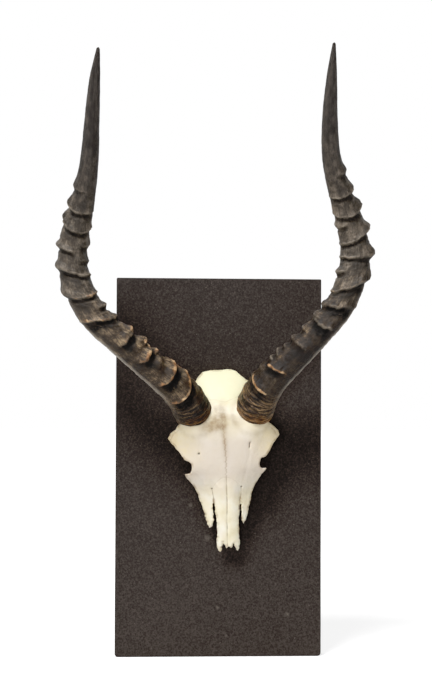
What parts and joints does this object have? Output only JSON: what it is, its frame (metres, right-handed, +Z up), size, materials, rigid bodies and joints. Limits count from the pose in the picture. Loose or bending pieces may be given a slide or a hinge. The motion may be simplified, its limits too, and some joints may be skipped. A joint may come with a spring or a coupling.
{
  "type": "antelope horns on a skull cap mounted on a board",
  "caption": "Wall trophy: a pair of ringed, lyre-shaped antelope horns on their sawn skull cap, fixed to a plain black rectangular wooden board.",
  "frame": {"origin": "centre of the board's back face, which lies flat against a wall", "axes": "+X to the right across the board as seen from the front, +Y into the wall, +Z up along the board and the horns; the front faces -Y"},
  "size_m": [0.3338, 0.2246, 0.6338],
  "materials": {
    "painted_wood": "matte",
    "bone": "satin",
    "horn": "satin"
  },
  "bodies": {
    "root": {"board": "painted_wood", "skull": "bone", "horn_left": "horn", "horn_right": "horn"}
  },
  "joints": []
}
